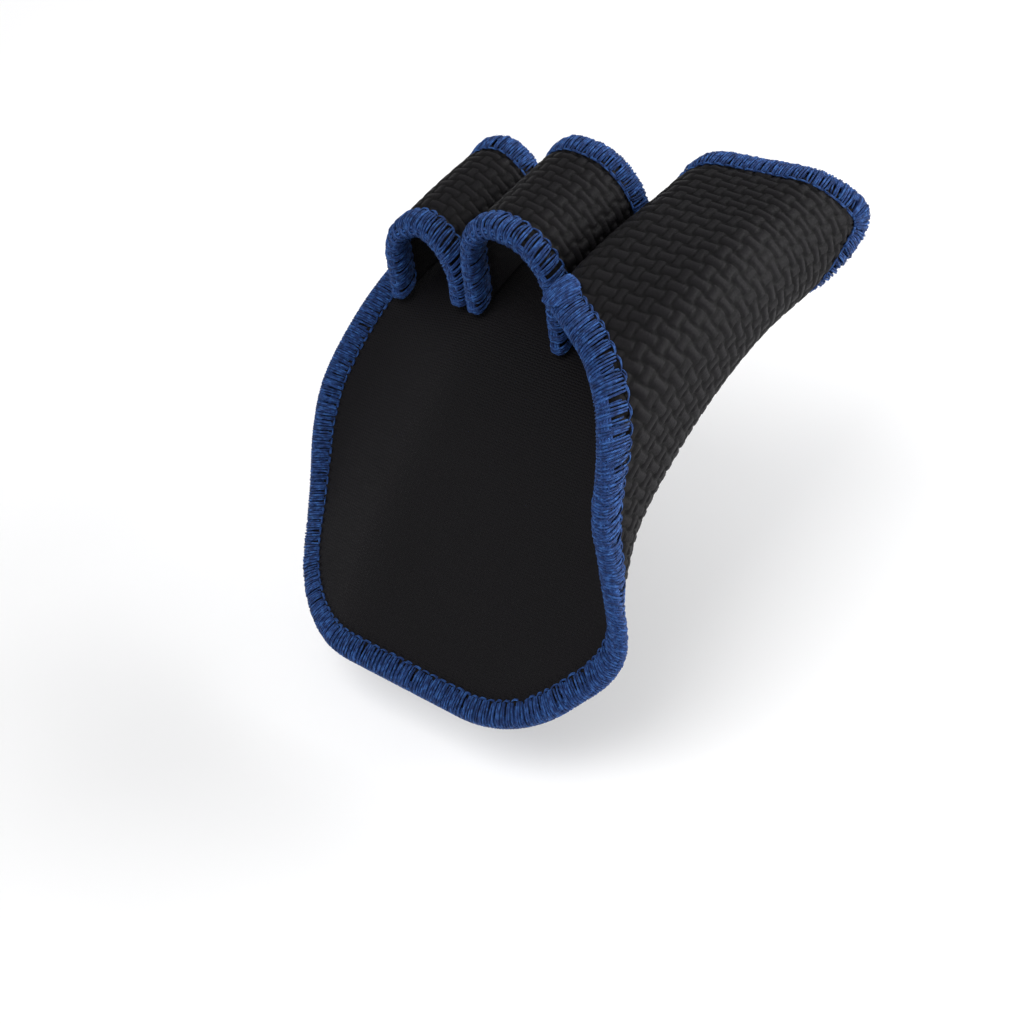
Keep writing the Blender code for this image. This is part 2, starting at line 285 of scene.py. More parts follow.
def foot_up(x):
    """Height at which a loop's wall ends over the pad, clear of the pad's edging."""
    reach = SHEET / 2 + BINDING
    return max(floor_up(x - reach), floor_up(x + reach)) + FOOT


def loop_section(centre, radius, height):
    """A function that gives a loop's section at a distance from its foot, and its length."""
    crown = floor_up(centre) + SHEET + height - radius
    left = crown - foot_up(centre - radius)
    right = crown - foot_up(centre + radius)
    arc = pi * radius

    def at(distance):
        angle = pi - np.clip((distance - left) / radius, 0, pi)
        rise = np.minimum(distance - left, 0) - np.maximum(distance - left - arc, 0)
        return (centre + radius * np.cos(angle), crown + radius * np.sin(angle) + rise,
                np.cos(angle), np.sin(angle))

    return at, left + arc + right


def loop_ends(x):
    """The y of a loop's near and far edges at a place across the hand."""
    near = np.interp(x, [RING_X, 0.0], [RING_AHEAD, 0.0]) - LOOP_LENGTH / 2
    return near, near + LOOP_LENGTH


def loop_worn(x, up, y):
    """Place of a point of a loop: its feet follow the pad, its crown stays nearly level."""
    crown = MIDDLE_HEIGHT + SHEET
    bend_start = FAR_EDGE - STRAIGHT
    past = np.clip((bend_start - y) / BEND_RADIUS, 0, np.sin(BEND_ANGLE))
    drop = BEND_RADIUS * (1 - np.sqrt(1 - past**2))
    share = np.maximum(up / crown, 0)
    level = CROWN_TILT * y / (LOOP_LENGTH / 2)
    z = FLOOR_Z + up - drop * (1 - share) + level * share
    return np.stack(np.broadcast_arrays(x, y, z), axis=-1)


LOOPS = {
    "middle": loop_section(0.0, MIDDLE_ARC, MIDDLE_HEIGHT),
    "ring": loop_section(RING_X, RING_ARC, RING_HEIGHT),
}
for finger, (_, length) in LOOPS.items():
    print(f"{finger} loop: a strip of {length:.1f} x {LOOP_LENGTH:.1f} mm")


# %% [markdown]
# The flat outline is the table's corners joined by arcs. It is drawn once, with a point every
# half millimetre, and both the cloth and its yarn use it.

# %% Draw the flat outline
def fold_across(fold, along):
    """Flat position of a fold number at a place along the pad."""
    if fold < 0:
        return SIDE_WIDTH * fold
    total = 0.0
    for k, (length, _) in enumerate(wrap_stretches(along)):
        total += length * min(max(fold - k, 0.0), 1.0)
    return float(total)


def rounded(corners, radii, arc_step):
    """Open line through corners, each rounded by an arc of its radius."""
    line = [corners[0]]
    for before, corner, after, radius in zip(corners, corners[1:], corners[2:], radii[1:]):
        back = before - corner
        ahead = after - corner
        back_length = np.linalg.norm(back)
        ahead_length = np.linalg.norm(ahead)
        back = back / back_length
        ahead = ahead / ahead_length
        half = np.arccos(np.clip(back @ ahead, -1, 1)) / 2
        trim = min(radius / np.tan(half), 0.48 * back_length, 0.48 * ahead_length)
        radius = trim * np.tan(half)
        middle = (back + ahead) / np.linalg.norm(back + ahead)
        centre = corner + middle * radius / np.sin(half)
        start = corner + back * trim - centre
        turn = pi - 2 * half
        side = np.sign(start[1] * back[0] - start[0] * back[1])
        for step in np.linspace(0, side * turn, max(2, int(radius * turn / arc_step) + 1)):
            c, s = np.cos(step), np.sin(step)
            line.append(centre + np.array([c * start[0] - s * start[1], s * start[0] + c * start[1]]))
    line.append(corners[-1])
    return np.array(line)


def even(line, step):
    """The same line with points at even distances of about one step."""
    length = np.concatenate([[0], np.cumsum(np.linalg.norm(np.diff(line, axis=0), axis=1))])
    at = np.linspace(0, length[-1], max(2, int(round(length[-1] / step)) + 1))
    return np.stack([np.interp(at, length, line[:, i]) for i in range(line.shape[1])], axis=1)


CUT_STEP = 0.5
corners = [np.array([fold_across(f, a * PAD_LENGTH), a * PAD_LENGTH]) for f, a, _ in OUTLINE]
EDGE = even(rounded(corners, [r * CUT_RADIUS for _, _, r in OUTLINE], 1.0), CUT_STEP)
foot_along = np.linspace(EDGE[-1, 1], EDGE[0, 1], 80)[1:-1]
foot = np.array([(fold_across(7.0, a), a) for a in foot_along])
CUT = np.concatenate([EDGE, foot])

# %% [markdown]
# The cloth's face is pressed with small bars: long ones that run round the finger, and
# shorter, lower ones between them that run along it, like a plain weave. All grooves lie on
# two families of lines, so the mesh has its own lines there and on both shoulders. That
# keeps the bars crisp with far fewer faces than an even grid would need.

# %% The pressed bars
BAR_STEP = 2.78
ROW_STEP = 2.25
BAR_HALF = 1.86
ROW_HALF = 0.86
RELIEF = 0.40
LOW_BAR = 0.82
SHOULDER = 0.38
CROWN = 0.05
CELL_ACROSS = [0.0, 0.54, 0.92, 1.30, 1.48, 1.86, 2.24]
CELL_ALONG = [0.0, 0.48, 0.86, 1.125, 1.39, 1.77]


def bar_height(across, along):
    """Height of the pressed pattern from 0 to 1: a long bar in every other cell."""
    i = np.round(across / BAR_STEP)
    j = np.round(along / ROW_STEP)
    best = np.zeros(np.broadcast(across, along).shape)
    for di in (-1, 0, 1):
        for dj in (-1, 0, 1):
            x = np.abs(across - (i + di) * BAR_STEP)
            y = np.abs(along - (j + dj) * ROW_STEP)
            long_bar = np.mod(i + di + j + dj, 2) == 0
            half_x = np.where(long_bar, BAR_HALF, BAR_STEP - BAR_HALF)
            half_y = np.where(long_bar, ROW_HALF, ROW_STEP - ROW_HALF)
            inside = np.clip(np.minimum(half_x - x, half_y - y) / SHOULDER, 0, 1)
            crown = 1 - CROWN * np.minimum(x / half_x, 1)**2 - CROWN * np.minimum(y / half_y, 1)**2
            top = np.where(long_bar, 1.0, LOW_BAR)
            best = np.maximum(best, top * crown * inside * (2 - inside))
    return best


def pattern_lines(low, high, period, places):
    """Grid lines from low to high that follow the pattern's grooves and shoulders."""
    first = int(np.floor(low / period))
    last = int(np.ceil(high / period))
    lines = np.array([k * period + place for k in range(first, last + 1) for place in places])
    return lines[(lines > low) & (lines < high)]


print(f"bars every {BAR_STEP} x {ROW_STEP} mm, {RELIEF} mm deep")


# %% [markdown]
# A numpy mesh is the quickest to fill. These helpers make an object from points in
# millimetres, give it smooth shading and keep the flat place of each point as an attribute,
# so that the material's grain lies in the cloth and doesn't slide over it.

# %% Helpers that make an object
def skin(numbers):
    """Quads between neighbouring rings of point numbers. The last axis runs round a ring."""
    here = numbers[..., :-1, :]
    there = numbers[..., 1:, :]
    quads = np.stack([here, np.roll(here, -1, axis=-1), np.roll(there, -1, axis=-1), there], axis=-1)
    return quads.reshape(-1, 4).tolist()


def make_object(name, points, faces, place):
    """Object from points in millimetres, rides on the body; place is kept for the material."""
    mesh = bpy.data.meshes.new(name)
    mesh.from_pydata((np.asarray(points) * MM).tolist(), [], faces)
    mesh.validate()
    mesh.shade_smooth()
    kept = mesh.attributes.new("place", "FLOAT_VECTOR", "POINT")
    kept.data.foreach_set("vector", np.asarray(place, np.float32).ravel())
    thing = bpy.data.objects.new(name, mesh)
    bpy.context.scene.collection.objects.link(thing)
    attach(thing, "root")
    triangles = sum(len(face) - 2 for face in faces)
    print(f"{name}: {len(points)} points, {triangles} triangles")
    return thing


# %% [markdown]
# The stitches squeeze the soft sheet. It is thinnest under the yarn, each stitch pulls a small
# dimple in beside the chain, and away from the edge the sheet lies a little uneven. The smooth
# inner face is told from the pressed one by a height below 0 in the attribute.

# %% How the stitches shape the sheet
STITCH = 2.1
PLAIN = -0.55
SQUEEZED = 0.80
SQUEEZE_FROM = 2.5
SQUEEZE_RUN = 4.0
PULL = 0.24
PULL_PLACE = BITE + 0.3
PULL_WIDTH = 0.9
UNEVEN = 0.16
UNEVEN_RUN = 6.0
WAVE_ACROSS = 6.1
WAVE_ALONG = 8.3
WAVE_BEND = 17.0
FADE = 3.0
FADED = 0.15
TOP = SHEET / 2 * SQUEEZED


def thickness(depth):
    """Share of the sheet's thickness that the yarn leaves, at a distance from the edge."""
    return SQUEEZED + (1 - SQUEEZED) * np.clip((depth - SQUEEZE_FROM) / SQUEEZE_RUN, 0, 1)


def pulled(run, depth):
    """How far a stitch pulls each face in, by distance along the edge and in from it."""
    beside_chain = np.exp(-((depth - PULL_PLACE) / PULL_WIDTH)**2)
    return PULL * beside_chain * (0.5 - 0.5 * np.cos(2 * pi * run / STITCH))


def uneven(across, along, depth):
    """How far the sheet as a whole stands out of its true shape, away from the stitching."""
    bend = 1.7 * np.sin(along / WAVE_BEND)
    wave = np.sin(across / WAVE_ACROSS + bend) * np.sin(along / WAVE_ALONG + 0.6)
    return UNEVEN * wave * np.clip((depth - BITE) / UNEVEN_RUN, 0, 1)


def pressed(across, along, depth):
    """Height of the pattern from 0 to 1, nearly flat where the yarn lies on it."""
    return bar_height(across, along) * np.clip(depth / FADE, FADED, 1)


print(f"the yarn squeezes the sheet to {thickness(0) * SHEET:.1f} mm at its edge")


# %% [markdown]
# The pad is a grid of the pattern's lines, trimmed by the outline. Cells whose middle is
# outside go, and the ragged border moves onto the outline, where the yarn hides it.

# %% Distance to the outline
def outline_distance(points):
    """Distance inside the outline of each point (below 0 outside), nearest place and its run."""
    steps = np.roll(CUT, -1, axis=0) - CUT
    squares = np.maximum(np.sum(steps**2, axis=1), 1e-9)
    passed = np.concatenate([[0], np.cumsum(np.sqrt(squares))])
    best = np.full(len(points), 1e9)
    nearest = np.zeros((len(points), 2))
    run = np.zeros(len(points))
    crossings = np.zeros(len(points), int)
    for start, step, square, before in zip(CUT, steps, squares, passed):
        share = np.clip(((points - start) @ step) / square, 0, 1)
        spot = start + share[:, None] * step
        gap = np.linalg.norm(points - spot, axis=1)
        closer = gap < best
        best[closer] = gap[closer]
        nearest[closer] = spot[closer]
        run[closer] = before + share[closer] * np.sqrt(square)
        spans = (start[1] > points[:, 1]) != (start[1] + step[1] > points[:, 1])
        if spans.any() and step[1] != 0:
            crossed = start[0] + step[0] * (points[:, 1] - start[1]) / step[1]
            crossings += spans & (points[:, 0] < crossed)
    return np.where(crossings % 2 == 1, best, -best), nearest, run


# %% Outer face of the pad
def border_loop(quads):
    """The longest chain of edges that only one quad uses, in order."""
    edges = {}
    for quad in quads:
        for a, b in zip(quad, np.roll(quad, -1)):
            edges[(int(a), int(b))] = True
    follow = {a: b for a, b in edges if (b, a) not in edges}
    loops = []
    while follow:
        start, spot = follow.popitem()
        loop = [start]
        while spot != start and spot in follow:
            loop.append(spot)
            spot = follow.pop(spot)
        loops.append(loop)
    return max(loops, key=len)


def trimmed_grid(low, high):
    """Flat points and quads of the pattern's grid, as far as they lie in the outline."""
    us = pattern_lines(low[0], high[0], BAR_STEP, CELL_ACROSS)
    vs = pattern_lines(low[1], high[1], ROW_STEP, CELL_ALONG)
    grid = np.stack(np.meshgrid(us, vs, indexing="ij"), axis=-1)
    middle = (grid[:-1, :-1] + grid[1:, 1:]) / 2
    depth, _, _ = outline_distance(middle.reshape(-1, 2))
    i, j = np.nonzero(depth.reshape(middle.shape[:2]) > 0)
    corner = i * len(vs) + j
    quads = np.stack([corner, corner + len(vs), corner + len(vs) + 1, corner + 1], axis=1)
    used, quads = np.unique(quads, return_inverse=True)
    return grid.reshape(-1, 2)[used], quads.reshape(-1, 4)


# %% [markdown]
# The inner face is smooth, so a coarse triangulation with the same border is enough. It is
# finer along the edge, where the stitches press their dimples, and a rounded rim joins the
# two faces into one closed skin.

# %% Inner face of the pad
INNER_STEP = 1.6
INNER_FROM = 7.2
INNER_ROWS = (2.0, 4.2, 4.8, 5.3, 5.9, 6.6)
ROW_CLEAR = 0.1
RIM_ROWS = (0.25, -0.5, -1.0)


def inner_points(low, high):
    """Flat points of the inner face: an even grid, then rows that follow the outline."""
    across = np.arange(low[0], high[0], INNER_STEP)
    along = np.arange(low[1], high[1], INNER_STEP)
    grid = np.stack(np.meshgrid(across, along), -1).reshape(-1, 2)
    depth, _, _ = outline_distance(grid)
    kept = [grid[depth > INNER_FROM]]
    heading = np.roll(CUT, -1, axis=0) - np.roll(CUT, 1, axis=0)
    inward = np.stack([heading[:, 1], -heading[:, 0]], axis=1)
    inward /= np.linalg.norm(heading, axis=1)[:, None]
    inward *= np.sign(outline_distance(CUT[:1] + inward[:1] * CUT_STEP)[0])
    for inset in INNER_ROWS:
        row = CUT + inward * inset
        depth, _, _ = outline_distance(row)
        kept.append(row[depth > inset - ROW_CLEAR])
    return np.concatenate(kept)


def inner_face(rim, low, high):
    """Flat points and triangles of the inner face, and which rim points each came from."""
    both = [Vector(point) for point in np.concatenate([rim, inner_points(low, high)])]
    ring = [(k, (k + 1) % len(rim)) for k in range(len(rim))]
    made, _, triangles, came_from, _, _ = delaunay_2d_cdt(both, ring, [], 1, 1e-6)
    made = np.array([tuple(point) for point in made])
    depth, _, _ = outline_distance(made[np.array(triangles)].mean(axis=1))
    return made, [triangle for triangle, d in zip(triangles, depth) if d > 0], came_from


# %% Build the pad's cloth
def make_pad():
    """Pad with the wrap round the index finger, as one closed skin."""
    low = CUT.min(axis=0) - 1
    high = CUT.max(axis=0) + 1
    flat, quads = trimmed_grid(low, high)
    depth, nearest, run = outline_distance(flat)
    loop = np.array(border_loop(quads))
    flat[loop] = nearest[loop]
    depth[loop] = 0
    u, v = flat.T
    rise = pressed(u, v, depth)
    top = thickness(depth) * SHEET / 2 - pulled(run, depth) + uneven(u, v, depth)
    points = [worn(u, v, top - RELIEF * (1 - rise))]
    places = [np.column_stack([flat, rise])]
    faces = quads.tolist()
    rim = flat[loop]
    count = len(flat)
    previous = loop
    for share in RIM_ROWS:
        row = np.arange(count, count + len(loop))
        points.append(worn(rim[:, 0], rim[:, 1], share * TOP))
        places.append(np.column_stack([rim, np.full(len(loop), PLAIN)]))
        count += len(loop)
        for a, b, c, d in zip(previous, np.roll(previous, -1), np.roll(row, -1), row):
            faces.append([int(b), int(a), int(d), int(c)])
        previous = row
    made, triangles, came_from = inner_face(rim, low, high)
    index = np.arange(count, count + len(made))
    for k, sources in enumerate(came_from):
        on_rim = [source for source in sources if source < len(loop)]
        if on_rim:
            index[k] = previous[on_rim[0]]
    depth, _, run = outline_distance(made)
    u, v = made.T
    top = thickness(depth) * SHEET / 2 - pulled(run, depth) - uneven(u, v, depth)
    points.append(worn(u, v, -top))
    places.append(np.column_stack([made, np.full(len(made), PLAIN)]))
    faces += [[int(index[c]), int(index[b]), int(index[a])] for a, b, c in triangles]
    return make_object("pad_cloth", np.concatenate(points), faces, np.concatenate(places))


pad_cloth = make_pad()


# %% [markdown]
# A finger loop is a plain rectangle, so its skin is a stack of rings: out along the pressed
# face and back along the smooth one. Its two feet are capped, because they stand on the pad.

# %% Build the finger loops' cloth
EDGE_CLEAR = 0.2
RIM_SHARES = (0.3, -0.5)


def loop_edge(finger):
    """Function that places a point of a loop: distance round it, from its near edge, outwards."""
    at, _ = LOOPS[finger]

    def place(round_it, from_near, out):
        round_it, from_near, out = np.broadcast_arrays(round_it, from_near, out)
        x, up, out_x, out_up = at(np.asarray(round_it, float))
        near, _ = loop_ends(x)
        return loop_worn(x + out_x * out, up + out_up * out, near + from_near)

    return place


def lines_between(length, period, places):
    """The pattern's lines on a strip of this length, with both of its ends."""
    lines = pattern_lines(EDGE_CLEAR, length - EDGE_CLEAR, period, places)
    return np.concatenate([[0], lines, [length]])


def make_loop(finger, shift):
    """Strip of cloth round one finger. shift moves the pattern, as the cutter's die does."""
    place = loop_edge(finger)
    rounds = lines_between(LOOPS[finger][1], BAR_STEP, CELL_ACROSS)
    widths = lines_between(LOOP_LENGTH, ROW_STEP, CELL_ALONG)
    s, d = np.meshgrid(rounds, widths, indexing="ij")
    depth = np.minimum(d, LOOP_LENGTH - d)
    rise = pressed(s, d + shift * ROW_STEP, depth)
    half = thickness(depth) * SHEET / 2 - pulled(s, depth)
    outer = place(s, d, half - RELIEF * (1 - rise))
    edge_s = np.stack([rounds, rounds], axis=1)
    far = place(edge_s, LOOP_LENGTH, np.array([RIM_SHARES]) * half[:, -1:])
    near = place(edge_s, 0.0, np.array([RIM_SHARES[::-1]]) * half[:, :1])
    inner = place(s, d, -half)[:, ::-1]
    rings = np.concatenate([outer, far, inner, near], axis=1)
    face = np.stack([s, d, rise], -1)
    rim = np.stack([edge_s, np.zeros(edge_s.shape), np.full(edge_s.shape, PLAIN)], -1)
    back = np.stack([s, -d, np.full(s.shape, PLAIN)], -1)[:, ::-1]
    places = np.concatenate([face, rim, back, rim], axis=1)
    numbers = np.arange(rings.shape[0] * rings.shape[1]).reshape(rings.shape[:2])
    faces = skin(numbers) + [numbers[0, ::-1].tolist(), numbers[-1].tolist()]
    return make_object(finger + "_loop_cloth", rings.reshape(-1, 3), faces, places.reshape(-1, 3))


middle_cloth = make_loop("middle", 0)
ring_cloth = make_loop("ring", 1)

# %% [markdown]
# The edging is overlock stitching in thick blue floss. At each stitch a bundle of strands
# goes over the edge from one face to the other, above a few strands of the stitch before. At
# the chain line each bundle is drawn together, so dark wedges of cloth show there, and cords
# under the bundles cover the cut edge. The strands of an edge are one mesh, all of them tubes.

# %% Sizes of the yarn
STRAND = 0.215
STRAND_SIDES = 5
STRAND_POINTS = 15
TAPER = 0.3
PUFF = 0.38
SUNK = 0.20
CHAIN_STRAND = 0.14
CHAIN_DEPTH = BITE * 0.865
CHAIN_HOP = 0.40
HAIR = 0.035
HAIR_SHARE = 0.24
HAIR_BITE = BITE * 0.88
HAIR_LIFT = 1.10
HAIRS = 3
CORD = 0.32
# Depth and height of the cords over the cut edge, and of those that fill out a full stitch.
EDGE_CORDS = ((-0.14, 0.62), (-0.14, 0.0), (-0.14, -0.62))
FULL_FACE = ((0.16, 0.98), (0.52, TOP + 0.02), (0.90, TOP + 0.05), (1.28, TOP + 0.05))
FULL_CORDS = tuple((depth, side * height) for side in (1, -1) for depth, height in FULL_FACE)
print(f"strands of {2 * STRAND:.2f} mm, cords of {2 * CORD:.2f} mm")

# %% [markdown]
# Three manners of stitching show in the photo. "strands" make a stitch. They fill the shares
# "at_chain" and "at_rim" of it. "beneath" counts the strands of the layer below, and a stitch
# that is "drawn" is pulled together at the rim too.

# %% Manners of stitching
Manner = namedtuple("Manner", "strands at_chain at_rim beneath drawn")
TIGHT = Manner(4, (0.60, 0.85), (0.94, 1.06), 3, False)
LOOSE = Manner(4, (0.52, 0.74), (0.94, 1.06), 3, False)
OPEN = Manner(4, (0.30, 0.60), (0.86, 1.04), 1, True)
SHARE = np.linspace(0, 1, STRAND_POINTS)
BITE_USED = 0.93
SLANT = 0.5
SHORT_BELOW = 0.9
SHORT_ASIDE = 0.7
RAISED = 0.05
# How far the seeded draws spread, in millimetres apart from the lift, which is a share.
CENTRE_SPREAD = 0.13
SLANT_SPREAD = 0.35
BITE_SPREAD = 0.12
WAVER_SPREAD = 0.10
LANE_SPREAD = 0.05
LIFT_SPREAD = 0.05
random = np.random.default_rng(7)
print(f"a stitch every {STITCH} mm, {TIGHT.strands} strands to each")


# %% Helper that makes many tubes at once
def tubes(lines, radius, sides):
    """Points, faces and strand places of tubes along lines, an array of (tube, point, xyz)."""
    count, steps = lines.shape[:2]
    ahead = np.gradient(lines, axis=1)
    ahead /= np.linalg.norm(ahead, axis=2, keepdims=True)
    bend = np.gradient(ahead, axis=1).sum(axis=1, keepdims=True) + np.array([1e-5, 2e-5, 3e-5])
    side = np.cross(ahead, np.broadcast_to(bend, ahead.shape))
    side /= np.linalg.norm(side, axis=2, keepdims=True)
    other = np.cross(ahead, side)
    angle = np.arange(sides) * 2 * pi / sides
    ring = side[:, :, None] * np.cos(angle)[:, None] + other[:, :, None] * np.sin(angle)[:, None]
    radius = np.broadcast_to(np.asarray(radius, float), (count, steps))
    points = lines[:, :, None] + ring * radius[:, :, None, None]
    pieces = np.linalg.norm(np.diff(lines, axis=1), axis=2)
    run = np.concatenate([np.zeros((count, 1)), np.cumsum(pieces, axis=1)], axis=1)
    place = np.empty(points.shape)
    place[..., 0] = run[:, :, None]
    place[..., 1] = angle / (2 * pi)
    place[..., 2] = np.arange(count)[:, None, None] % 97 / 97
    numbers = np.arange(count * steps * sides).reshape(count, steps, sides)
    caps = numbers[:, 0, ::-1].tolist() + numbers[:, -1].tolist()
    return points.reshape(-1, 3), skin(numbers) + caps, place.reshape(-1, 3)


def joined(parts):
    """Several sets of points, faces and places as one."""
    points, faces, places, count = [], [], [], 0
    for some_points, some_faces, some_places in parts:
        points.append(some_points)
        places.append(some_places)
        faces += [[v + count for v in face] for face in some_faces]
        count += len(some_points)
    return np.concatenate(points), faces, np.concatenate(places)


# %% [markdown]
# Every strand is first drawn over a straight edge, as a distance along it, a depth in from it
# and a height off the cloth's middle. Small seeded differences in spacing, slant and depth
# keep the stitching from looking machined.

# %% Way of a strand over the edge
def half_path(bite, sunk):
    """Depth and height of a strand on one face, from where it bites to the rim."""
    rim = TOP + STRAND - sunk
    puff = PUFF - sunk
    return [
        # depth, height
        (bite, TOP - 0.12),
        (bite - 0.14, rim),
        (bite * 0.60, rim + puff),
        (1.15, rim + puff),
        (0.15, rim + puff * 0.2),
        (sunk - 0.30, rim * 0.60),
    ]


def over_edge(share, bite_out, bite_in, sunk):
    """Depth and height of a strand at shares of its way from the outer to the inner face."""
    inner = [(depth, -height) for depth, height in half_path(bite_in, sunk)]
    path = np.array(half_path(bite_out, sunk) + [(sunk - 0.46, 0.0)] + inner[::-1])
    at = np.linspace(0, 1, len(path))
    return np.interp(share, at, path[:, 0]), np.interp(share, at, path[:, 1])


# %% Strands, chain and loose hairs
def stitch_strands(centre, pitch, manner):
    """Strands of one stitch, then those beneath it: distance, depth and height of each."""
    spread = np.abs(np.sin((2 if manner.drawn else 1) * pi * SHARE))**0.5
    slant = random.normal(SLANT, SLANT_SPREAD)
    bite_out = BITE * BITE_USED + random.normal(0, BITE_SPREAD)
    bite_in = BITE * BITE_USED + random.normal(0, BITE_SPREAD)
    tip = pitch * random.uniform(*manner.at_chain)
    rim = pitch * random.uniform(*manner.at_rim)
    strands = []
    for m in range(manner.strands + manner.beneath):
        below = m >= manner.strands
        count = manner.beneath if below else manner.strands
        lane = (m % manner.strands + 0.5) / count - 0.5
        short = SHORT_BELOW if below else abs(lane) * SHORT_ASIDE
        depth, out = over_edge(SHARE, bite_out - short, bite_in - short, SUNK if below else 0.0)
        width = pitch if below else tip + (rim - tip) * spread
        lean = -slant if below else slant
        along = centre + lane * width + lean * (SHARE - 0.5)
        waver = random.normal(0, WAVER_SPREAD) * np.sin(2 * pi * SHARE)
        along = along + waver + random.normal(0, LANE_SPREAD)
        lift = 1 + LIFT_SPREAD * random.normal() + RAISED * np.cos(pi * lane) * spread
        strands.append((along, depth, out * lift))
    return strands


def chain_arcs(centres, face):
    """Two thin threads that hop from stitch to stitch: distance, depth and height."""
    share = np.linspace(0, 1, 7)
    hop = np.sin(pi * share)
    arcs = []
    for here, there in zip(centres[:-1], centres[1:]):
        for thread in (0, 1):
            along = here + (there - here) * (share * 1.06 - 0.03) + 0.22 * thread
            depth = CHAIN_DEPTH + CHAIN_HOP * hop + 0.17 * thread + random.normal(0, 0.05)
            height = TOP + CHAIN_STRAND * (3.4 * hop - 1.3 - 0.5 * thread)
            arcs.append((along, depth, face * height))
    return arcs


def loose_hair(centre):
    """A fine fibre that has come loose over a stitch: distance, depth and height."""
    share = np.linspace(0, 1, 6)
    first = random.uniform(0.04, 0.72)
    depth, out = over_edge(first + HAIR_SHARE * share, HAIR_BITE, HAIR_BITE, 0.0)
    along = centre + random.normal(0, 0.6) + random.normal(0, 1.0) * (share - 0.5)
    return along, depth, out * (HAIR_LIFT + random.uniform(0.02, 0.16) * np.sin(pi * share))


# %% [markdown]
# One function winds any edge. It is given "place", which turns a distance, a depth and a
# height into a point in space, for the pad's long edge or for an edge of a loop.

# %% Wind yarn over an edge
def wind_edge(name, start, end, place, manner):
    """Overlock stitching along an edge, from one distance along it to another."""
    stitches = int(round((end - start) / STITCH))
    pitch = (end - start) / stitches
    centres = start + (np.arange(stitches) + 0.5) * pitch + random.normal(0, CENTRE_SPREAD, stitches)
    lines = []
    for centre in centres:
        for along, depth, out in stitch_strands(centre, pitch, manner):
            lines.append(place(np.clip(along, start + STRAND, end - STRAND), depth, out))
    radius = STRAND * (1 - TAPER * np.abs(2 * SHARE - 1)**6)
    run = np.linspace(start + CORD, end - CORD, stitches * 3)
    cords = [place(run, *spot) for spot in EDGE_CORDS + (() if manner.drawn else FULL_CORDS)]
    chained = np.clip(centres, start + 0.4, end - 0.6)
    arcs = [place(*arc) for face in (1, -1) for arc in chain_arcs(chained, face)]
    hairs = [place(*loose_hair(centre)) for centre in centres[1:-1] for _ in range(HAIRS)]
    parts = [
        tubes(np.array(lines), radius[None, :], STRAND_SIDES),
        tubes(np.array(cords), CORD, STRAND_SIDES),
        tubes(np.array(arcs), CHAIN_STRAND, STRAND_SIDES),
        tubes(np.array(hairs), HAIR, 3),
    ]
    return make_object(name, *joined(parts))


# %% Place functions of the edges
edge_heading = np.gradient(EDGE, axis=0)
edge_heading /= np.linalg.norm(edge_heading, axis=1)[:, None]
edge_inward = np.stack([edge_heading[:, 1], -edge_heading[:, 0]], axis=1)
if np.sum((EDGE.mean(axis=0) - EDGE) * edge_inward) < 0:
    edge_inward = -edge_inward
edge_run = np.concatenate([[0], np.cumsum(np.linalg.norm(np.diff(EDGE, axis=0), axis=1))])
EDGE_LENGTH = edge_run[-1]


def pad_edge(run, depth, out):
    """Point near the pad's edge, by distance along it, depth in from it and height."""
    run, depth, out = np.broadcast_arrays(run, depth, out)
    spot = [np.interp(run, edge_run, EDGE[:, i]) for i in (0, 1)]
    inward = [np.interp(run, edge_run, edge_inward[:, i]) for i in (0, 1)]
    return worn(spot[0] + inward[0] * depth, spot[1] + inward[1] * depth, out)


def loop_border(finger, near_edge):
    """Place function of a loop's near or far edge, with the same three inputs."""
    place = loop_edge(finger)

    def border(run, depth, out):
        return place(run, depth if near_edge else LOOP_LENGTH - depth, out)

    return border


print(f"the pad's edge is {EDGE_LENGTH:.1f} mm long")

# %% Yarn of every edge
WRAP_END = 0.30
PALM_END = 0.74
pad_yarns = [
    wind_edge("wrap_far_yarn", 0.0, EDGE_LENGTH * WRAP_END, pad_edge, LOOSE),
    wind_edge("palm_edge_yarn", EDGE_LENGTH * WRAP_END, EDGE_LENGTH * PALM_END, pad_edge, TIGHT),
    wind_edge("wrap_near_yarn", EDGE_LENGTH * PALM_END, EDGE_LENGTH, pad_edge, TIGHT),
]
loop_yarns = {}
for finger, (_, length) in LOOPS.items():
    for end, manner in (("near", OPEN), ("far", LOOSE)):
        border = loop_border(finger, end == "near")
        loop_yarns[(finger, end)] = wind_edge(f"{finger}_{end}_yarn", 0.0, length, border, manner)

# %% [markdown]
# Where the wrap's near edge meets the middle finger's loop, the maker ran the machine back
# and forth on the spot. The result is a thick little knot: strands side by side over the
# edging, in two layers, each laid a little off the one before.

# %% The knot
TACK_WIDTH = 7.0
TACK_REACH = 5.9
TACK_DEPTH = 1.2
TACK_FOLD = 5.28
TACK_PLACE = 0.374
TACK_LAYERS = (17, 14)
TACK_STRAND = STRAND * 1.05
TACK_SUNK = 0.40
TACK_LEAN = 0.35
# Where each layer lies in the knot's depth. The upper one is narrower.
TACK_LOWER = 0.36
TACK_UPPER = 0.30
TACK_NARROWER = 0.12
# How much a strand falls off to its ends, and how much shorter and lower the outer ones are.
TACK_ARCH = 0.8
TACK_SHORTER = 0.42
TACK_FLATTER = 0.90


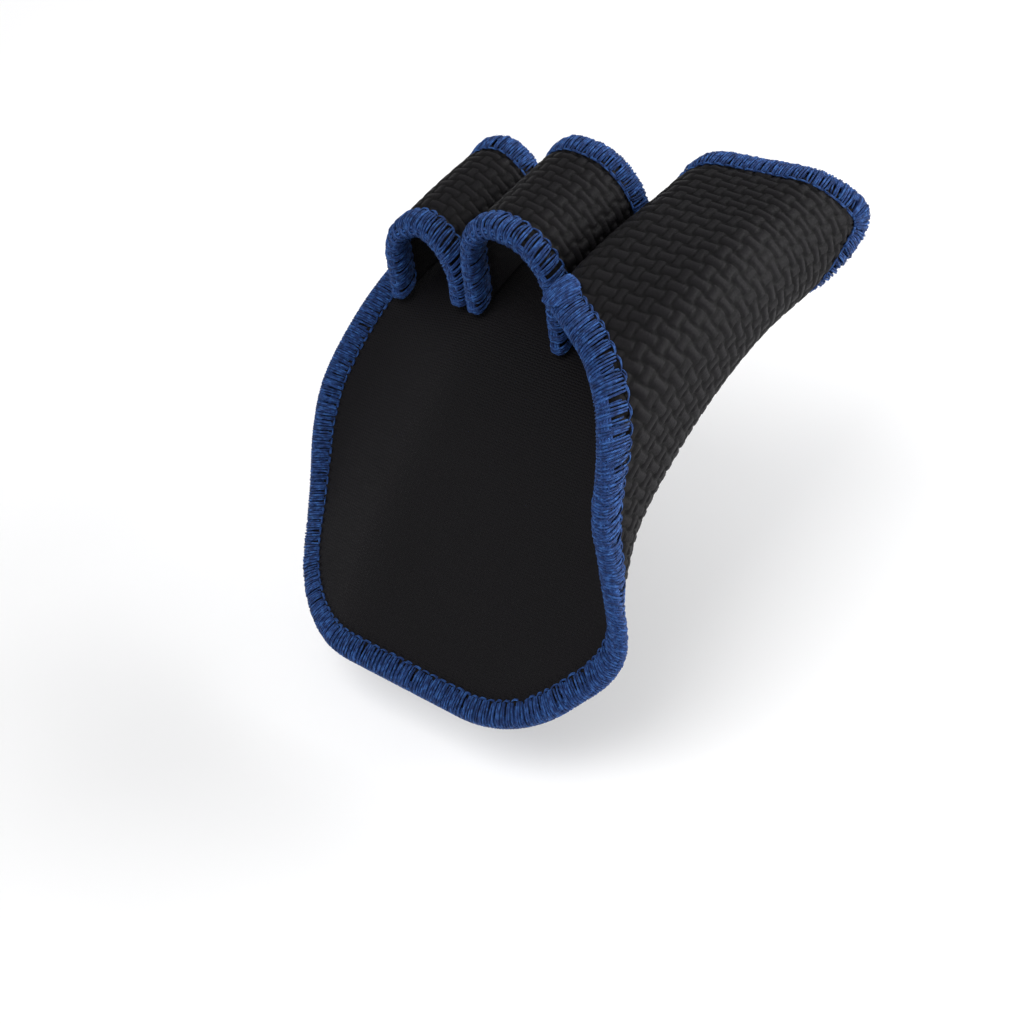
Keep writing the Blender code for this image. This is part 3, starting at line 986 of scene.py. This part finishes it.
def make_knot():
    """Two layers of strands over the edging, where the CAD knot lies."""
    along = TACK_PLACE * PAD_LENGTH
    spot = np.array([fold_across(TACK_FOLD, along), along])
    run = edge_run[np.linalg.norm(EDGE - spot, axis=1).argmin()]
    centre = TACK_REACH / 2 - YARN
    base = SHEET / 2 + BINDING - TACK_SUNK
    share = np.linspace(-1, 1, STRAND_POINTS)
    lines = []
    for layer, count in enumerate(TACK_LAYERS):
        for k in range(count):
            lane = ((k + 0.5) / count * 2 - 1) * (1 - TACK_NARROWER * layer)
            half = TACK_REACH / 2 * (1 - TACK_SHORTER * abs(lane)**3)
            beside = run + lane * TACK_WIDTH / 2 + TACK_LEAN * share + random.normal(0, 0.08) * share
            rise = TACK_DEPTH * (TACK_LOWER + TACK_UPPER * layer) * (1 - TACK_ARCH * share**2)
            out = base + rise * (1 - TACK_FLATTER * abs(lane)**3)
            lines.append(pad_edge(beside, centre - share * half, out + random.normal(0, 0.06)))
    return make_object("junction_knot", *tubes(np.array(lines), TACK_STRAND, STRAND_SIDES))


knot = make_knot()

# %% [markdown]
# The finishes are built from a few helpers, so that a line of code reads like a sum. Each
# takes numbers or other nodes' outputs.

# %% Helpers for nodes
def feed(tree, node, inputs):
    """Give a node's inputs, by name or number, a value or another node's output."""
    for key, value in inputs.items():
        if isinstance(value, bpy.types.NodeSocket):
            tree.links.new(value, node.inputs[key])
        else:
            node.inputs[key].default_value = value
    return node


def add_node(tree, kind, **inputs):
    """Shader node of a kind, with what its named inputs take."""
    return feed(tree, tree.nodes.new(kind), inputs)


def calc(tree, operation, *terms):
    """Output of a Math node. Each term is a number or another node's output."""
    node = tree.nodes.new("ShaderNodeMath")
    node.operation = operation
    return feed(tree, node, dict(enumerate(terms))).outputs[0]


def sine(tree, turns):
    """Sine of a number of whole turns."""
    return calc(tree, "SINE", calc(tree, "MULTIPLY", turns, 2 * pi))


def between(tree, value, low, high, to_low=0.0, to_high=1.0):
    """A value from low to high, brought to lie between to_low and to_high."""
    limits = {"Value": value, "From Min": low, "From Max": high, "To Min": to_low, "To Max": to_high}
    return feed(tree, tree.nodes.new("ShaderNodeMapRange"), limits).outputs["Result"]


def parts_of(tree, vector):
    """The three numbers of a vector, by the names X, Y and Z."""
    return add_node(tree, "ShaderNodeSeparateXYZ", Vector=vector).outputs


# %% Helpers for groups
def new_group(name, inputs, outputs):
    """Empty node group with its sockets, what comes in, and the node that gives its outputs."""
    tree = bpy.data.node_groups.new(name, "ShaderNodeTree")
    for socket, (kind, value) in inputs.items():
        made = tree.interface.new_socket(name=socket, in_out="INPUT", socket_type=kind)
        if value is not None:
            made.default_value = value
    for socket in outputs:
        tree.interface.new_socket(name=socket, in_out="OUTPUT", socket_type="NodeSocketFloat")
    return tree, tree.nodes.new("NodeGroupInput").outputs, tree.nodes.new("NodeGroupOutput")


def use_group(tree, group, place, **values):
    """Outputs of a node group, placed in a material with its own values."""
    node = tree.nodes.new("ShaderNodeGroup")
    node.node_tree = group
    return feed(tree, node, {"Place": place, **values}).outputs


# %% [markdown]
# Two effects are shared by both finishes, so each is a node group: a fine fuzz that roughens
# a surface at the scale of fibres, and broad patches that make one area a little lighter or
# darker than the next. Groups give only masks and heights. The shader stays in the material.

# %% Fibre fuzz
def make_fuzz():
    """Fine noise that is drawn out in one direction by its Stretch input."""
    tree, given, result = new_group(
        "fibre_fuzz",
        {"Place": ("NodeSocketVector", None), "Stretch": ("NodeSocketVector", (1, 1, 1)),
         "Scale": ("NodeSocketFloat", 4.0), "Contrast": ("NodeSocketFloat", 1.0)},
        ["Mask", "Height"])
    stretched = tree.nodes.new("ShaderNodeVectorMath")
    stretched.operation = "MULTIPLY"
    feed(tree, stretched, {0: given["Place"], 1: given["Stretch"]})
    noise = add_node(tree, "ShaderNodeTexNoise", Vector=stretched.outputs[0], Scale=given["Scale"],
                     Detail=4.0, Roughness=0.65)
    mask = between(tree, noise.outputs["Fac"], 0.34, 0.66)
    feed(tree, result, {"Mask": mask, "Height": calc(tree, "MULTIPLY", mask, given["Contrast"])})
    return tree


FUZZ = make_fuzz()


# %% Broad patches
def make_patches():
    """Slow variation of shade over the surface, from dark 0 to light 1."""
    tree, given, result = new_group(
        "shade_patches",
        {"Place": ("NodeSocketVector", None), "Scale": ("NodeSocketFloat", 0.1)},
        ["Mask"])
    noise = add_node(tree, "ShaderNodeTexNoise", Vector=given["Place"], Scale=given["Scale"],
                     Detail=2.0, Roughness=0.5)
    feed(tree, result, {"Mask": between(tree, noise.outputs["Fac"], 0.3, 0.7)})
    return tree


PATCHES = make_patches()


# %% [markdown]
# A third group is the knit of the cloth's smooth inner face. Its stitches are tiny Vs: two
# legs that lean together, in columns called wales and rows called courses.

# %% Knit of the lining
def make_knit():
    """Height of knitted stitches. Place, Wale and Course are in millimetres."""
    tree, given, result = new_group(
        "jersey_knit",
        {"Place": ("NodeSocketVector", None), "Wale": ("NodeSocketFloat", 0.8),
         "Course": ("NodeSocketFloat", 0.6)},
        ["Height"])
    place = parts_of(tree, given["Place"])
    column = calc(tree, "FRACT", calc(tree, "DIVIDE", place["X"], given["Wale"]))
    leg = calc(tree, "ABSOLUTE", calc(tree, "SUBTRACT", column, 0.5))
    row = calc(tree, "DIVIDE", place["Y"], given["Course"])
    ridge = between(tree, sine(tree, calc(tree, "ADD", row, leg)), -1.0, 1.0)
    hump = calc(tree, "ABSOLUTE", sine(tree, leg))
    feed(tree, result, {"Height": calc(tree, "MULTIPLY", hump, ridge)})
    return tree


KNIT = make_knit()
print("node groups:", FUZZ.name, PATCHES.name, KNIT.name)


# %% [markdown]
# Neoprene's face is a thin black jersey bonded to foam rubber. It is dull, a little grey on
# top of the bars where it has been rubbed, and painted darkest in the grooves, as painted shade.
# The attribute "place" gives the material its flat coordinates in millimetres and, as its third
# number, how high the bar stands, so the rubbed tops and the painted groove shade need no
# picture. Below 0, it is the knitted inner face.

# %% Helpers for both finishes
def start_material(name):
    """Material, its tree and shader, and the flat coordinates of the piece that wears it."""
    material = bpy.data.materials.new(name)
    material.use_nodes = True
    tree = material.node_tree
    attribute = tree.nodes.new("ShaderNodeAttribute")
    attribute.attribute_name = "place"
    return material, tree, tree.nodes["Principled BSDF"], attribute.outputs["Vector"]


def ramp(tree, value, stops):
    """Colour at a value, from stops of (place, colour)."""
    node = add_node(tree, "ShaderNodeValToRGB", Fac=value)
    elements = node.color_ramp.elements
    while len(elements) < len(stops):
        elements.new(0.5)
    for element, (at, colour) in zip(elements, stops):
        element.position = at
        element.color = (*colour, 1.0)
    return node.outputs["Color"]


def bumped(tree, height, strength, distance):
    """Normal of a surface with this height pressed into it. Distance is in metres."""
    node = add_node(tree, "ShaderNodeBump", Strength=strength, Distance=distance, Height=height)
    return node.outputs["Normal"]


# %% The cloth's finish
# The groove colour is painted shade. The rubbed colour of the bars' tops is wear.
GROOVE_SHADE_BLACK = (0.0018, 0.0017, 0.0020)
CLOTH_BLACK = (0.0036, 0.0032, 0.0040)
RUBBED_BLACK = (0.0070, 0.0062, 0.0078)
BLACKS = [(0.0, GROOVE_SHADE_BLACK), (0.45, CLOTH_BLACK), (1.0, RUBBED_BLACK)]
# How far the bars' height, the fuzz and the knit each move the colour along the ramp. The
# patches count as a share of a bar's height. The bars' height paints shade into the grooves
# and gives the rubbed tops their wear. The knit's height paints shade into its hollows.
HEIGHT_SHADE_AND_WEAR = 0.62
RUB_FUZZ = 0.30
RUB_PATCHES = 0.12
PAINTED_KNIT_SHADE = 0.45
KNIT_HEIGHT = 4.0
CLOTH_BUMP = 0.00003


def make_cloth_finish():
    """Black jersey over foam: dull, with painted shade in the grooves, rubbed on the bars."""
    material, tree, shader, place = start_material("black_neoprene")
    fuzz = use_group(tree, FUZZ, place, Stretch=(1.0, 0.45, 0.0), Scale=3.4, Contrast=1.0)
    patches = use_group(tree, PATCHES, place, Scale=0.09)
    height = parts_of(tree, place)["Z"]
    lining = calc(tree, "LESS_THAN", height, 0.0)
    knitted = calc(tree, "MULTIPLY", use_group(tree, KNIT, place)["Height"], lining)
    # The bar's height sets painted shade in the grooves and the rubbed wear on the tops.
    stands = calc(tree, "ABSOLUTE", height)
    shade = calc(tree, "MULTIPLY_ADD", patches["Mask"], RUB_PATCHES, stands)
    shade = calc(tree, "MULTIPLY", shade, HEIGHT_SHADE_AND_WEAR)
    shade = calc(tree, "MULTIPLY_ADD", fuzz["Mask"], RUB_FUZZ, shade)
    # Painted shade: the knit's hollows are darker and its raised legs lighter.
    shade = calc(tree, "MULTIPLY_ADD", knitted, PAINTED_KNIT_SHADE, shade)
    relief = calc(tree, "MULTIPLY_ADD", knitted, KNIT_HEIGHT, fuzz["Height"])
    feed(tree, shader, {
        "Base Color": ramp(tree, shade, BLACKS),
        "Roughness": between(tree, fuzz["Mask"], 0.0, 1.0, 0.52, 0.68),
        "Normal": bumped(tree, relief, 1.0, CLOTH_BUMP),
        "Specular IOR Level": 0.13,
    })
    return material


cloth_finish = make_cloth_finish()
print("finish:", cloth_finish.name)

# %% [markdown]
# The yarn is a loose, fluffy polyester floss. Each strand is a bundle of twisted fibres, so
# its bump and a painted shade follow lines that run slantwise round the tube: lighter on the
# twist's crests, darker between them. In its "place" attribute a strand has its own length,
# the share of the way round it and a number that sets it apart from its neighbours.

# %% The yarn's finish
DEEP_BLUE = (0.0025, 0.0090, 0.038)
YARN_BLUE = (0.0078, 0.0370, 0.172)
LIGHT_BLUE = (0.0480, 0.1650, 0.510)
BLUES = [(0.0, DEEP_BLUE), (0.5, YARN_BLUE), (1.0, LIGHT_BLUE)]
TWIST = 1.1
FIBRES = 5
STRANDS_APART = 83.0
PAINTED_TWIST_SHADE = 0.24
SHADE_STRANDS = 0.72
YARN_BUMP = 0.00009


def make_yarn_finish():
    """Blue floss: fibres twisted round each strand, with a soft sheen."""
    material, tree, shader, place = start_material("blue_floss")
    strand = parts_of(tree, place)
    slant = calc(tree, "MULTIPLY_ADD", strand["X"], TWIST, calc(tree, "MULTIPLY", strand["Y"], FIBRES))
    ridge = between(tree, sine(tree, slant), -1.0, 1.0)
    fuzz = use_group(tree, FUZZ, place, Stretch=(1.0, 9.0, 40.0), Scale=2.6, Contrast=0.8)
    height = calc(tree, "ADD", ridge, fuzz["Height"])
    number = calc(tree, "MULTIPLY", strand["Z"], STRANDS_APART)
    spot = add_node(tree, "ShaderNodeCombineXYZ", X=number, Y=strand["X"]).outputs[0]
    patches = use_group(tree, PATCHES, spot, Scale=0.8)
    lane = calc(tree, "MULTIPLY", patches["Mask"], SHADE_STRANDS)
    # Painted light and shade along the twist, on top of random tone from strand to strand.
    tone = calc(tree, "MULTIPLY_ADD", height, PAINTED_TWIST_SHADE, lane)
    feed(tree, shader, {
        "Base Color": ramp(tree, tone, BLUES),
        "Normal": bumped(tree, height, 0.8, YARN_BUMP),
        "Roughness": 0.62,
        "Specular IOR Level": 0.30,
        "Sheen Weight": 0.12,
        "Sheen Roughness": 0.4,
        "Sheen Tint": (0.25, 0.50, 1.0, 1.0),
    })
    return material


yarn_finish = make_yarn_finish()
print("finish:", yarn_finish.name)

# %% [markdown]
# Each piece gets its finish, and the CAD node it stands for is hidden.

# %% Finishes and what is replaced
for piece, node in ((pad_cloth, "palm_pad"), (middle_cloth, "middle_loop"), (ring_cloth, "ring_loop")):
    piece.data.materials.append(cloth_finish)
    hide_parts(node)
edgings = [(piece, "pad_binding") for piece in pad_yarns] + [(knot, "junction_tack")]
edgings += [(piece, f"{finger}_{end}_binding") for (finger, end), piece in loop_yarns.items()]
for piece, node in edgings:
    piece.data.materials.append(yarn_finish)
    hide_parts(node)

# %% Each loop's length
for finger, piece in (("middle", middle_cloth), ("ring", ring_cloth)):
    _, length = LOOPS[finger]

# %% [markdown]
# The photograph was taken with a long lens from above the back of the hand, on white. The
# camera stands there, and a pale floor lies under the grip, which a hand holds up in use.
# Large soft lamps give the same broad, even light.

# %% Camera
CAMERA_PLACE = (0.23226, -0.28041, 0.24882)
CAMERA_RIGHT = (0.79701, 0.59477, -0.10503)
CAMERA_UP = (-0.33130, 0.57592, 0.74737)
CAMERA_BACK = (0.50500, -0.56086, 0.65606)
LENS = 80
FILM_WIDTH = 36
camera_data = bpy.data.cameras.new("camera")
camera_data.lens = LENS
camera_data.sensor_width = FILM_WIDTH
camera = bpy.data.objects.new("camera", camera_data)
turn = Matrix((CAMERA_RIGHT, CAMERA_UP, CAMERA_BACK)).transposed()
camera.matrix_world = Matrix.Translation(CAMERA_PLACE) @ turn.to_4x4()
bpy.context.scene.collection.objects.link(camera)
bpy.context.scene.camera = camera
print("camera at", CAMERA_PLACE)

# %% Floor
FLOOR_DROP = 0.012
FLOOR_HALF = 3.0
FLOOR_PALE = (0.93, 0.93, 0.935, 1.0)
FLOOR_ROUGH = 0.9
floor_z = cad_box[0].z - FLOOR_DROP
sides = ((-1, -1), (1, -1), (1, 1), (-1, 1))
floor_mesh = bpy.data.meshes.new("floor")
floor_mesh.from_pydata([(x * FLOOR_HALF, y * FLOOR_HALF, floor_z) for x, y in sides], [], [(0, 1, 2, 3)])
floor = bpy.data.objects.new("floor", floor_mesh)
bpy.context.scene.collection.objects.link(floor)
floor_finish = bpy.data.materials.new("pale_floor")
floor_finish.use_nodes = True
floor_shader = floor_finish.node_tree.nodes["Principled BSDF"]
floor_shader.inputs["Base Color"].default_value = FLOOR_PALE
floor_shader.inputs["Roughness"].default_value = FLOOR_ROUGH
floor_mesh.materials.append(floor_finish)
print(f"floor at {floor_z * 1000:.1f} mm")

# %% Lamps
LAMPS = [
    # name, place in metres, size in metres, power in watts
    ("key", (-0.10, -0.50, 0.85), 0.7, 4.8),
    ("fill", (0.72, 0.50, 0.30), 0.62, 8.0),
    ("back", (0.20, 0.85, 0.45), 0.4, 2.6),
]
SKY = (1.0, 1.0, 1.0, 1.0)
SKY_STRENGTH = 0.50
for name, place, size, power in LAMPS:
    data = bpy.data.lights.new(name, "AREA")
    data.size = size
    data.energy = power
    lamp = bpy.data.objects.new(name, data)
    lamp.location = place
    lamp.rotation_euler = (-Vector(place)).to_track_quat("-Z", "Y").to_euler()
    bpy.context.scene.collection.objects.link(lamp)
world = bpy.data.worlds.new("studio")
world.use_nodes = True
world.node_tree.nodes["Background"].inputs["Color"].default_value = SKY
world.node_tree.nodes["Background"].inputs["Strength"].default_value = SKY_STRENGTH
bpy.context.scene.world = world
bpy.context.scene.view_settings.view_transform = "Standard"
print("three square lamps that face the grip, and a pale sky")

# %% Size of the CAD model
print("cad", [[round(c * 1000, 1) for c in corner] for corner in cad_box])
